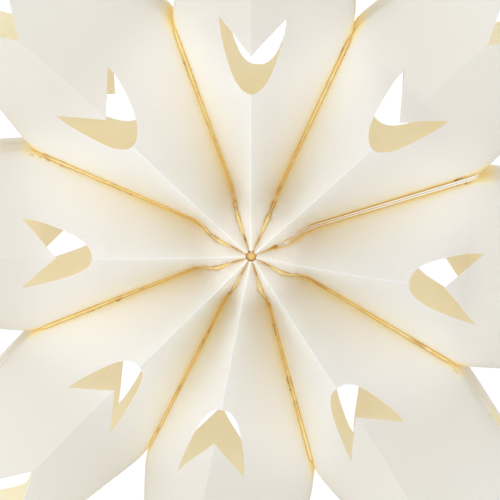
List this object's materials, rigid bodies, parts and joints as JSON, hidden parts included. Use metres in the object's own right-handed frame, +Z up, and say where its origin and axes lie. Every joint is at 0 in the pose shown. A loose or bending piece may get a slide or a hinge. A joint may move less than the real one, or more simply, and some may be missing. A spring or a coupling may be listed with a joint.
{
  "type": "paper snowflake star",
  "caption": "Fold-out paper star of glued folded bags with die-cut openings, fanned round a hub and closed by magnetic end cards; folds flat.",
  "frame": {"origin": "the hanging point, midway between the two thread holes at the tip of the top bag, on the star's middle plane", "axes": "+Z up from the star's centre towards the top bag's tip; the star faces -Y and its fan axis lies along Y, 264 mm below the origin; +X to the right seen from the front"},
  "size_m": [0.5789, 0.1954, 0.5842],
  "materials": {
    "paper": "uncoated ivory-white paper, warm where light passes through it",
    "tape": "thin double-sided glue tape",
    "card": "plain stiff card with a cut edge",
    "magnet": "plated disc magnet"
  },
  "bodies": {
    "petal_1": {"petal_1": "paper"},
    "seam_8": {"base_tape_8": "tape", "stem_tape_8": "tape"},
    "petal_8": {"petal_8": "paper"},
    "seam_7": {"base_tape_7": "tape", "stem_tape_7": "tape"},
    "petal_7": {"petal_7": "paper"},
    "seam_6": {"base_tape_6": "tape", "stem_tape_6": "tape"},
    "petal_6": {"petal_6": "paper"},
    "seam_5": {"base_tape_5": "tape", "stem_tape_5": "tape"},
    "petal_5": {"petal_5": "paper"},
    "seam_4": {"base_tape_4": "tape", "stem_tape_4": "tape"},
    "petal_4": {"petal_4": "paper"},
    "seam_3": {"base_tape_3": "tape", "stem_tape_3": "tape"},
    "petal_3": {"petal_3": "paper"},
    "card_lower": {"end_card_lower": "card", "magnet_lower_1": "magnet", "magnet_lower_2": "magnet"},
    "seam_1": {"base_tape_1": "tape", "stem_tape_1": "tape"},
    "petal_2": {"petal_2": "paper"},
    "card_upper": {"end_card_upper": "card", "magnet_upper_1": "magnet", "magnet_upper_2": "magnet"}
  },
  "joints": [
    {"name": "fold_seam_8", "type": "hinge", "parent": "petal_1", "child": "seam_8", "pos_m": [0, 0, -0.264], "axis": [0, 1, 0], "range_deg": [0, 21.5], "deforming": ["petal_1"]},
    {"name": "fold_petal_8", "type": "hinge", "parent": "seam_8", "child": "petal_8", "pos_m": [0, 0, -0.264], "axis": [0, 1, 0], "range_deg": [-0.02, 22.52], "deforming": ["petal_8"]},
    {"name": "fold_seam_7", "type": "hinge", "parent": "petal_8", "child": "seam_7", "pos_m": [0, 0, -0.264], "axis": [0, 1, 0], "range_deg": [-0.02, 22.52]},
    {"name": "fold_petal_7", "type": "hinge", "parent": "seam_7", "child": "petal_7", "pos_m": [0, 0, -0.264], "axis": [0, 1, 0], "range_deg": [-0.02, 21.52], "deforming": ["petal_7"]},
    {"name": "fold_seam_6", "type": "hinge", "parent": "petal_7", "child": "seam_6", "pos_m": [0, 0, -0.264], "axis": [0, 1, 0], "range_deg": [-0.02, 21.52]},
    {"name": "fold_petal_6", "type": "hinge", "parent": "seam_6", "child": "petal_6", "pos_m": [0, 0, -0.264], "axis": [0, 1, 0], "range_deg": [-0.02, 19.52], "deforming": ["petal_6"]},
    {"name": "fold_seam_5", "type": "hinge", "parent": "petal_6", "child": "seam_5", "pos_m": [0, 0, -0.264], "axis": [0, 1, 0], "range_deg": [-0.02, 19.52]},
    {"name": "fold_petal_5", "type": "hinge", "parent": "seam_5", "child": "petal_5", "pos_m": [0, 0, -0.264], "axis": [0, 1, 0], "range_deg": [-0.02, 20.02], "deforming": ["petal_5"]},
    {"name": "fold_seam_4", "type": "hinge", "parent": "petal_5", "child": "seam_4", "pos_m": [0, 0, -0.264], "axis": [0, 1, 0], "range_deg": [-0.02, 20.02]},
    {"name": "fold_petal_4", "type": "hinge", "parent": "seam_4", "child": "petal_4", "pos_m": [0, 0, -0.264], "axis": [0, 1, 0], "range_deg": [-0.02, 21.02], "deforming": ["petal_4"]},
    {"name": "fold_seam_3", "type": "hinge", "parent": "petal_4", "child": "seam_3", "pos_m": [0, 0, -0.264], "axis": [0, 1, 0], "range_deg": [-0.02, 21.02]},
    {"name": "fold_petal_3", "type": "hinge", "parent": "seam_3", "child": "petal_3", "pos_m": [0, 0, -0.264], "axis": [0, 1, 0], "range_deg": [-0.02, 21.62], "deforming": ["petal_3"]},
    {"name": "fold_card_lower", "type": "hinge", "parent": "petal_3", "child": "card_lower", "pos_m": [0, 0, -0.264], "axis": [0, 1, 0], "range_deg": [-0.02, 21.62]},
    {"name": "fold_seam_1", "type": "hinge", "parent": "petal_1", "child": "seam_1", "pos_m": [0, 0, -0.264], "axis": [0, -1, 0], "range_deg": [-0.02, 21.52]},
    {"name": "fold_petal_2", "type": "hinge", "parent": "seam_1", "child": "petal_2", "pos_m": [0, 0, -0.264], "axis": [0, -1, 0], "range_deg": [-0.02, 21.62], "deforming": ["petal_2"]},
    {"name": "fold_card_upper", "type": "hinge", "parent": "petal_2", "child": "card_upper", "pos_m": [0, 0, -0.264], "axis": [0, -1, 0], "range_deg": [-0.02, 21.62]}
  ],
  "couplings": [
    {"joint": "fold_petal_8", "follows": "fold_seam_8", "ratio": 1.0465},
    {"joint": "fold_seam_7", "follows": "fold_seam_8", "ratio": 1.0465},
    {"joint": "fold_petal_7", "follows": "fold_seam_8", "ratio": 1},
    {"joint": "fold_seam_6", "follows": "fold_seam_8", "ratio": 1},
    {"joint": "fold_petal_6", "follows": "fold_seam_8", "ratio": 0.90698},
    {"joint": "fold_seam_5", "follows": "fold_seam_8", "ratio": 0.90698},
    {"joint": "fold_petal_5", "follows": "fold_seam_8", "ratio": 0.93023},
    {"joint": "fold_seam_4", "follows": "fold_seam_8", "ratio": 0.93023},
    {"joint": "fold_petal_4", "follows": "fold_seam_8", "ratio": 0.97674},
    {"joint": "fold_seam_3", "follows": "fold_seam_8", "ratio": 0.97674},
    {"joint": "fold_petal_3", "follows": "fold_seam_8", "ratio": 1.0047},
    {"joint": "fold_card_lower", "follows": "fold_seam_8", "ratio": 1.0047},
    {"joint": "fold_seam_1", "follows": "fold_seam_8", "ratio": 1},
    {"joint": "fold_petal_2", "follows": "fold_seam_8", "ratio": 1.0047},
    {"joint": "fold_card_upper", "follows": "fold_seam_8", "ratio": 1.0047}
  ]
}
